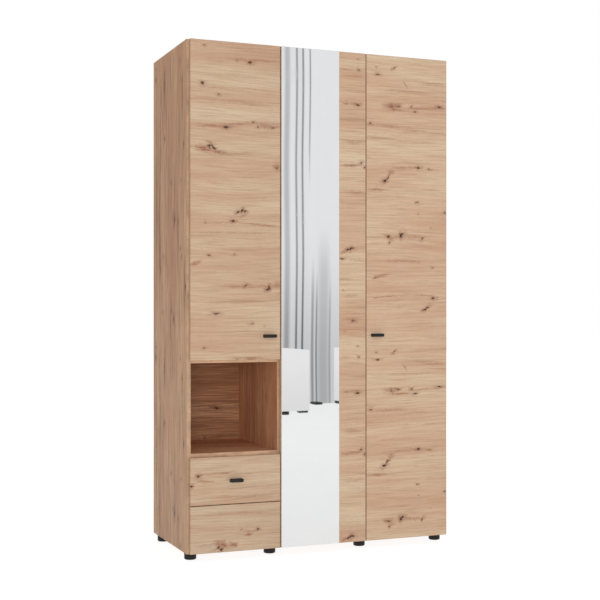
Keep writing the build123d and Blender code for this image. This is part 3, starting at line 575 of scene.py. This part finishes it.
# mirror strip
mirrorLook = {
    "silver": ("e3e4e4", "c8cacc"),  # clean, and under dust
    "dust": {"fade": (0.3, 0.8), "power": (0.0, 0.06)},
    "dustCloud": {"scale": 14.0, "detail": 4.0, "rough": 0.6},
    "smudge": {"fade": (0.55, 0.8), "power": (0.0, 0.02)},
    "smudgeCloud": {"scale": 5.0, "detail": 5.0, "rough": 0.65},
    "haze": 0.012,
    "rim": ("c9d8d2", "dfe8e4"),     # green cast of the polished glass edge, made pale as a painted highlight along the edges
    "rimRough": 0.12,
    "rimMetal": 0.4,
    "rimLayer": {"stretch": (30, 30, 4), "scale": 3.0, "detail": 2.0},
    "frontFacing": -0.9,             # only the front is silver, the rest is rim
}
tapeLook = {
    "tones": ((0.1, "b9b9b6"), (0.7, "d4d4d1")),
    "cells": 900.0,  # foam cells a metre
    "gloss": {"fade": (0.0, 0.8), "power": (0.75, 0.9)},
    "bump": (0.4, 0.0003),
}


def dressMirror():
    mat, tree, shader, here = newMaterial("mirror_glass")
    turned = split(tree, facingOf(here))[1]
    front = calc(tree, "LESS_THAN", turned, mirrorLook["frontFacing"])
    dust = cloud(tree, here, **mirrorLook["dustCloud"])
    clean, dusty = (tone(code) for code in mirrorLook["silver"])
    silver = blend(tree, strength(tree, dust, mirrorLook["dust"]), clean, dusty)
    # the rim tone is the glass edge's green cast, made pale as a painted highlight
    green, pale = (tone(code) for code in mirrorLook["rim"])
    rim = blend(tree, layer(tree, here, mirrorLook["rimLayer"]), green, pale)
    smudge = cloud(tree, here, **mirrorLook["smudgeCloud"])
    rough = calc(tree, "ADD", strength(tree, smudge, mirrorLook["smudge"]), mirrorLook["haze"])
    rough = put(tree, "Mix", {0: front, 2: mirrorLook["rimRough"], 3: rough}).outputs[0]
    metal = calc(tree, "MULTIPLY_ADD", front, 1 - mirrorLook["rimMetal"], mirrorLook["rimMetal"])
    wire(tree, shader, Base_Color=blend(tree, front, rim, silver), Roughness=rough, Metallic=metal)
    dress(mat, "mirror")


def dressTape():
    mat, tree, shader, here = newMaterial("foam_tape")
    cells = put(tree, "TexVoronoi", {"Vector": here, "Scale": tapeLook["cells"]})
    cells = cells.outputs["Distance"]
    wire(tree, shader, Base_Color=ramp(tree, cells, tapeLook["tones"]),
         Roughness=strength(tree, cells, tapeLook["gloss"]),
         Normal=bump(tree, cells, *tapeLook["bump"]))
    dress(mat, "mirror_tape")


dressMirror()
dressTape()
print("mirror silvered")


# fibreboard backs and drawer bottoms, drawer boxes
backLook = {
    "sheets": (("back_board", 1, 1.0, ("back_sheet_left", "back_sheet_middle",
                                       "back_sheet_right")),
               ("drawer_bottom", 2, -1.0, ("upper_drawer_bottom", "lower_drawer_bottom"))),
    "rawFacing": -0.5,               # all but the printed face is raw
    "raw": ((0.30, "86644a"), (0.48, "9a7757"), (0.66, "af8c69")),
    "rawShare": (0.45, 0.55),        # patches, and fibres
    "patchCloud": {"scale": 3.0, "detail": 4.0},
    "fibre": {"stretch": (1.0, 1.0, 0.8), "scale": 260.0, "detail": 5.0, "rough": 0.7,
              "swirl": 0.8},
    "print": ((0.25, "c4a283"), (0.5, "cdae8e"), (0.75, "d5b999")),
    "printGrain": {"stretch": (3.0, 45.0, 45.0), "detail": 4.0, "rough": 0.6},
    "screen": 1150.0,                # rows a metre pressed into the raw side
    "screenGap": 0.12,
    "screenDepth": -0.3,
    "gloss": {"fade": (0.0, 0.8), "power": (0.5, 0.9)},
    "sheen": 0.25,
    "bump": (0.35, 0.0004),
}


def dressBacks():
    for name, axis, rawSide, nodes in backLook["sheets"]:
        mat, tree, shader, here = newMaterial(name)
        turned = calc(tree, "MULTIPLY", split(tree, facingOf(here))[axis], rawSide)
        rawAt = calc(tree, "GREATER_THAN", turned, backLook["rawFacing"])
        fibre = layer(tree, here, backLook["fibre"])
        patch = cloud(tree, here, **backLook["patchCloud"])
        patchShare, fibreShare = backLook["rawShare"]
        mixed = calc(tree, "MULTIPLY", fibre, fibreShare)
        mixed = calc(tree, "MULTIPLY_ADD", patch, patchShare, mixed)
        raw = ramp(tree, mixed, backLook["raw"])
        printed = ramp(tree, layer(tree, here, backLook["printGrain"]), backLook["print"])
        weave = put(tree, "TexBrick", {"Vector": here, "Scale": backLook["screen"],
                                       "Mortar Size": backLook["screenGap"]}).outputs["Fac"]
        pressed = calc(tree, "MULTIPLY", weave, backLook["screenDepth"])
        height = calc(tree, "MULTIPLY", rawAt, calc(tree, "ADD", fibre, pressed))
        gloss = strength(tree, calc(tree, "MULTIPLY", rawAt, fibre), backLook["gloss"])
        wire(tree, shader, Base_Color=blend(tree, rawAt, printed, raw), Roughness=gloss,
             Specular_IOR_Level=backLook["sheen"], Normal=bump(tree, height, *backLook["bump"]))
        dress(mat, *nodes)


def dressDrawerBoxes():
    boardEnds = ("_drawer_side_left", "_drawer_side_right", "_drawer_back")
    boards = [name for name in parts if name.endswith(boardEnds)]
    dress(makeOak("drawer_board", "yzx", "drawerBox", **drawerBoxPrint), *boards)


dressBacks()
dressDrawerBoxes()
print("backs and drawer boxes dressed")


# metal and plastic fittings, rough goes from polished to dull
metalLook = {
    "hinge_nickel": {"dull": "a7a6a2", "bright": "d6d5d0", "rough": (0.20, 0.34),
                     "brush": (40, 40, 40), "bump": 0.05,
                     "nodes": ("hinge_cups_left", "hinge_cups_middle", "hinge_cups_right",
                               "hinge_arms_left", "hinge_arms_middle", "hinge_arms_right",
                               "hinge_plates")},
    "screw_zinc": {"dull": "9c9c98", "bright": "cfcfca", "rough": (0.28, 0.42),
                   "brush": (90, 90, 90), "bump": 0.06,
                   "nodes": ("hinge_plate_screws", "foot_screws", "handle_screws_left",
                             "handle_screws_right", "upper_drawer_handle_screws", "back_nails",
                             "cam_bolts", "shelf_pins")},
    "runner_zinc": {"dull": "9ea1a2", "bright": "c9cccd", "rough": (0.26, 0.42),
                    "brush": (60, 3, 220), "bump": 0.08,
                    "nodes": ("runner_outer_members", "upper_runner_middle_members",
                              "lower_runner_middle_members", "upper_drawer_inner_members",
                              "lower_drawer_inner_members")},
    "cam_cast": {"dull": "8f8f8d", "bright": "b9b9b6", "rough": (0.38, 0.55),
                 "brush": (300, 300, 300), "bump": 0.18, "nodes": ("cam_locks",)},
    "rail_chrome": {"dull": "cfd1d2", "bright": "eceded", "rough": (0.05, 0.11),
                    "brush": (2, 60, 60), "bump": 0.01, "nodes": ("clothes_rail",)},
}
metalGrain = {  # what all metals share
    "brushCloud": {"scale": 8.0, "detail": 4.0, "rough": 0.6},
    "stainCloud": {"scale": 35.0, "detail": 4.0, "rough": 0.6},
    "share": (0.55, 0.45),   # brush marks, and stains
    "toneAt": (0.32, 0.62),
    "roughAt": (0.3, 0.7),
    "bumpDepth": 0.0003,
}


def dressMetals():
    brushShare, stainShare = metalGrain["share"]
    dullAt, brightAt = metalGrain["toneAt"]
    for name, look in metalLook.items():
        mat, tree, shader, here = newMaterial(name)
        brushed = cloud(tree, stretch(tree, here, look["brush"]), **metalGrain["brushCloud"])
        stain = cloud(tree, here, **metalGrain["stainCloud"])
        mixed = calc(tree, "MULTIPLY", stain, stainShare)
        mixed = calc(tree, "MULTIPLY_ADD", brushed, brushShare, mixed)
        polished, dull = look["rough"]
        colour = ramp(tree, mixed, ((dullAt, look["dull"]), (brightAt, look["bright"])))
        wire(tree, shader, Base_Color=colour, Metallic=1.0,
             Roughness=fade(tree, mixed, *metalGrain["roughAt"], dull, polished),
             Normal=bump(tree, brushed, look["bump"], metalGrain["bumpDepth"]))
        dress(mat, *look["nodes"])


mouldedLook = {
    "handle_black": {"tones": ((0.3, "100e0d"), (0.7, "1d1a18")), "rough": (0.42, 0.56),
                     "grain": 1400.0, "bump": 0.12,
                     "nodes": ("handle_left", "handle_right", "upper_drawer_handle")},
    "foot_plastic": {"tones": ((0.3, "0f0e0d"), (0.7, "1b1918")), "rough": (0.50, 0.66),
                     "grain": 700.0, "bump": 0.22, "nodes": ("feet",)},
    "grey_plastic": {"tones": ((0.3, "b8ada0"), (0.7, "c6bcaf")), "rough": (0.42, 0.55),
                     "grain": 900.0, "bump": 0.10, "nodes": ("rail_brackets", "back_joiner")},
    "clear_rubber": {"tones": ((0.3, "d8d8d4"), (0.7, "e6e6e3")), "rough": (0.18, 0.30),
                     "grain": 500.0, "bump": 0.05, "nodes": ("door_bumpers",)},
}
mouldedGrain = {  # what all moulded parts share
    "speckCloud": {"detail": 3.0, "rough": 0.6},
    "scuff": {"stretch": (1, 1, 2.5), "scale": 45.0, "detail": 5.0, "rough": 0.65},
    "share": (0.6, 0.4),     # scuffs, and specks
    "roughAt": (0.3, 0.7),
    "sheen": 0.35,
    "bumpDepth": 0.0003,
}


def dressMoulded():
    scuffShare, speckShare = mouldedGrain["share"]
    for name, look in mouldedLook.items():
        mat, tree, shader, here = newMaterial(name)
        speck = cloud(tree, here, look["grain"], **mouldedGrain["speckCloud"])
        scuff = layer(tree, here, mouldedGrain["scuff"])
        mixed = calc(tree, "MULTIPLY", speck, speckShare)
        mixed = calc(tree, "MULTIPLY_ADD", scuff, scuffShare, mixed)
        wire(tree, shader, Base_Color=ramp(tree, mixed, look["tones"]),
             Roughness=fade(tree, mixed, *mouldedGrain["roughAt"], *look["rough"]),
             Specular_IOR_Level=mouldedGrain["sheen"],
             Normal=bump(tree, speck, look["bump"], mouldedGrain["bumpDepth"]))
        dress(mat, *look["nodes"])


dowelLook = {
    "tones": ((0.3, "c9a67c"), (0.7, "e0c59d")),
    "lines": {"stretch": (60, 300, 300), "scale": 2.0, "detail": 4.0, "rough": 0.6},
    "gloss": {"fade": (0.3, 0.7), "power": (0.6, 0.8)},
    "bump": (0.2, 0.0003),
}


def dressDowels():
    mat, tree, shader, here = newMaterial("dowel_beech")
    lines = layer(tree, here, dowelLook["lines"])
    wire(tree, shader, Base_Color=ramp(tree, lines, dowelLook["tones"]),
         Roughness=strength(tree, lines, dowelLook["gloss"]),
         Normal=bump(tree, lines, *dowelLook["bump"]))
    dress(mat, "dowels")


dressMetals()
dressMoulded()
dressDowels()
print("fittings dressed")


# studio: pale floor, soft light, white surround
studioLook = {
    "sky": 0.57,                  # light that reaches the wardrobe
    "skySeen": 1.0,               # what the camera sees behind it
    "lamps": (("softKey", (-2.35, -6.65, 1.25), 2.4, 145.0),
              ("softRear", (2.4, 5.6, 2.8), 3.0, 70.0)),
    "floorTone": ((0.3, "868686"), (0.7, "8a8a8a")),
    "floorCloud": {"scale": 3.0, "detail": 4.0},
    "floorGlow": (0.89, 0.93),    # near the wardrobe, and far off
    "floorGlowFrom": (1.0, 4.5),  # how far near and far are, m
    "floorBounce": 0.48,          # share of the glow that lights the wardrobe
    "floorRough": 0.9,
    "floorSize": 20.0,            # half width, m
    "floorDrop": 0.0005,
}
# a pale curtain and two pale blocks that only reflections see, in metres: both glow, the curtain
# with painted shade in its folds, pleats and lower part, the blocks with painted light lighter at
# the top
curtainLook = {
    "wallY": -7.17,
    "tall": 4.6,
    "reach": (-7.0, 8.0),
    "tint": (0.99, 0.985, 1.0, 1.0),
    "glow": 1.0,
    "drift": {"stretch": (0.4, 0.0, 0.5), "detail": 1.0}, "driftReach": 0.06,
    # painted shade of fine pleats as faint vertical stripes
    "pleats": {"stretch": (5.0, 0.0, 0.05), "detail": 3.0,
               "fade": (0.45, 0.75), "power": (0.0, 0.10)},
    # place along the wall, half width, darkness of the painted fold shade, lowest and highest point
    "folds": ((2.545, 0.050, .36, 0.0, 5.0), (2.650, 0.018, .60, 0.0, 5.0),
              (2.7186, 0.018, .64, 0.0, 5.0), (2.797, 0.013, .60, 2.5, 5.0),
              (2.829, 0.024, .40, -1.0, 1.3), (2.874, 0.018, .45, -1.0, 1.2),
              (2.950, 0.100, .22, -1.0, 1.6), (3.022, 0.020, .30, -1.0, 1.2)),
    "foldCore": 0.15,             # share of the half width that is fully in painted shade
    "foldEnds": (0.4, 0.3),       # how softly a fold ends, below and above
    # painted shade darkening the curtain towards the bottom: the heights where it starts and is
    # full, and how dark
    "lowPaintedShadeFrom": (1.8, 0.3), "lowPaintedShade": 0.25,
    "blocks": (((1.10, -6.62, 0.034), (2.325, -6.03, 0.594)),
               ((3.06, -7.15, 0.03), (4.3, -6.95, 0.575))),
    "blockTint": (1.0, 0.985, 0.992, 1),
    # the blocks glow, lighter towards the top as painted light: heights where the rise starts and
    # ends, and dimmest and brightest glow
    "blockGlow": {"fade": (0.0, 0.6), "power": (0.93, 1.03)},
    "blockFeet": (((2.07, -6.12, 0.0), (2.13, -6.05, 0.034)),
                  ((2.235, -6.12, 0.014), (2.318, -6.05, 0.034)),
                  ((2.80, -7.16, 0.0), (2.875, -7.02, 0.022)),
                  ((3.07, -7.15, 0.0), (3.14, -6.97, 0.03))),
    "footTones": ((0.3, "141414"), (0.7, "242424")),
    "footCloud": {"scale": 8.0, "detail": 3.0},
    "footRough": 0.6,
}
black = (0, 0, 0, 1)
white = (1, 1, 1, 1)


def makeWorld():
    world = bpy.data.worlds.new("studioAir")
    scene.world = world
    world.use_nodes = True
    tree = world.node_tree
    tree.nodes.clear()
    path = put(tree, "LightPath")
    glow = put(tree, "Background", {"Color": white, "Strength": studioLook["sky"]})
    seen = put(tree, "Background", {"Color": white, "Strength": studioLook["skySeen"]})
    both = put(tree, "MixShader", {0: path.outputs["Is Camera Ray"], 1: glow.outputs[0],
                                   2: seen.outputs[0]})
    put(tree, "OutputWorld", {0: both.outputs[0]})


def makeLamps():
    for name, spot, size, power in studioLook["lamps"]:
        lamp = bpy.data.lights.new(name, "AREA")
        lamp.shape = "DISK"
        lamp.size = size
        lamp.energy = power
        obj = bpy.data.objects.new(name, lamp)
        obj.location = spot
        aim = (cadLow + cadHigh) / 2 - obj.location
        obj.rotation_euler = aim.to_track_quat("-Z", "Y").to_euler()
        obj.visible_camera = False
        obj.visible_glossy = False
        scene.collection.objects.link(obj)


def stageMesh(name, verts, faces, mat):
    mesh = bpy.data.meshes.new(name)
    mesh.from_pydata(verts, [], faces)
    obj = bpy.data.objects.new(name, mesh)
    mesh.materials.append(mat)
    scene.collection.objects.link(obj)
    return obj


def stageBox(name, low, high, mat):
    corners = ((low[0], low[1]), (high[0], low[1]), (high[0], high[1]), (low[0], high[1]))
    verts = [(x, y, z) for z in (low[2], high[2]) for x, y in corners]
    faces = [(0, 3, 2, 1), (4, 5, 6, 7), (0, 1, 5, 4), (1, 2, 6, 5), (2, 3, 7, 6), (3, 0, 4, 7)]
    return stageMesh(name, verts, faces, mat)


def makeFloor():
    half = studioLook["floorSize"]
    z = cadLow.z - studioLook["floorDrop"]
    mat, tree, shader, here = newMaterial("pale_floor")
    grey = cloud(tree, here, **studioLook["floorCloud"])
    away = lengthOf(tree, here)
    glow = fade(tree, away, *studioLook["floorGlowFrom"], *studioLook["floorGlow"])
    bounced = put(tree, "LightPath").outputs["Is Diffuse Ray"]
    share = fade(tree, bounced, 0.0, 1.0, 1.0, studioLook["floorBounce"])
    wire(tree, shader, Base_Color=ramp(tree, grey, studioLook["floorTone"]),
         Roughness=studioLook["floorRough"], Specular_IOR_Level=0.0, Emission_Color=white,
         Emission_Strength=calc(tree, "MULTIPLY", glow, share))
    corners = [(-half, -half, z), (half, -half, z), (half, half, z), (-half, half, z)]
    stageMesh("paleFloor", corners, [(0, 1, 2, 3)], mat)


def curtainFoldShade(tree, here):  # painted shade of the curtain: its folds and pleats, and darker towards the bottom
    axes = split(tree, here)
    reach = curtainLook["driftReach"]
    drift = layer(tree, here, curtainLook["drift"])
    along = calc(tree, "ADD", axes[0], calc(tree, "MULTIPLY_ADD", drift, reach, -reach / 2))
    pleats = layer(tree, here, curtainLook["pleats"])
    dark = strength(tree, pleats, curtainLook["pleats"])
    below, above = curtainLook["foldEnds"]
    for middle, half, depth, low, high in curtainLook["folds"]:
        off = calc(tree, "ABSOLUTE", calc(tree, "SUBTRACT", along, middle))
        span = calc(tree, "MULTIPLY", fade(tree, axes[2], low - below, low + below),
                    fade(tree, axes[2], high + above, high - above))
        fold = fade(tree, off, half, half * curtainLook["foldCore"], 0.0, depth)
        dark = calc(tree, "MAXIMUM", dark, calc(tree, "MULTIPLY", fold, span))
    lowPaintedShade = fade(tree, axes[2], *curtainLook["lowPaintedShadeFrom"], 0.0, curtainLook["lowPaintedShade"])
    return dark, lowPaintedShade


def makeCurtain():
    mat, tree, shader, here = newMaterial("curtain_glow")
    dark, lowPaintedShade = curtainFoldShade(tree, here)
    # the curtain glows though it is no lamp; folds, pleats and its lower part are painted shade
    light = calc(tree, "SUBTRACT", calc(tree, "SUBTRACT", 1.0, dark), lowPaintedShade)
    wire(tree, shader, Base_Color=black, Specular_IOR_Level=0.0,
         Emission_Color=curtainLook["tint"],
         Emission_Strength=calc(tree, "MULTIPLY", light, curtainLook["glow"]))
    (x0, x1), y, top = curtainLook["reach"], curtainLook["wallY"], curtainLook["tall"]
    corners = [(x0, y, 0), (x1, y, 0), (x1, y, top), (x0, y, top)]
    return [stageMesh("curtainWall", corners, [(0, 1, 2, 3)], mat)]


def makeBlocks():
    mat, tree, shader, here = newMaterial("block_glow")
    height = split(tree, here)[2]
    # the blocks glow, lighter towards the top as painted light
    wire(tree, shader, Base_Color=black, Specular_IOR_Level=0.0,
         Emission_Color=curtainLook["blockTint"],
         Emission_Strength=strength(tree, height, curtainLook["blockGlow"]))
    shown = [stageBox("paleBlock_%d" % i, low, high, mat)
             for i, (low, high) in enumerate(curtainLook["blocks"])]

    mat, tree, shader, here = newMaterial("block_feet")
    shade = cloud(tree, here, **curtainLook["footCloud"])
    wire(tree, shader, Base_Color=ramp(tree, shade, curtainLook["footTones"]),
         Roughness=curtainLook["footRough"])
    shown += [stageBox("blockFoot_%d" % i, low, high, mat)
              for i, (low, high) in enumerate(curtainLook["blockFeet"])]
    return shown


makeWorld()
makeLamps()
makeFloor()
for obj in makeCurtain() + makeBlocks():
    obj.visible_camera = obj.visible_diffuse = False
    obj.visible_shadow = obj.visible_transmission = False
print("studio lit")


scene.view_settings.view_transform = "Standard"
scene.view_settings.look = "None"
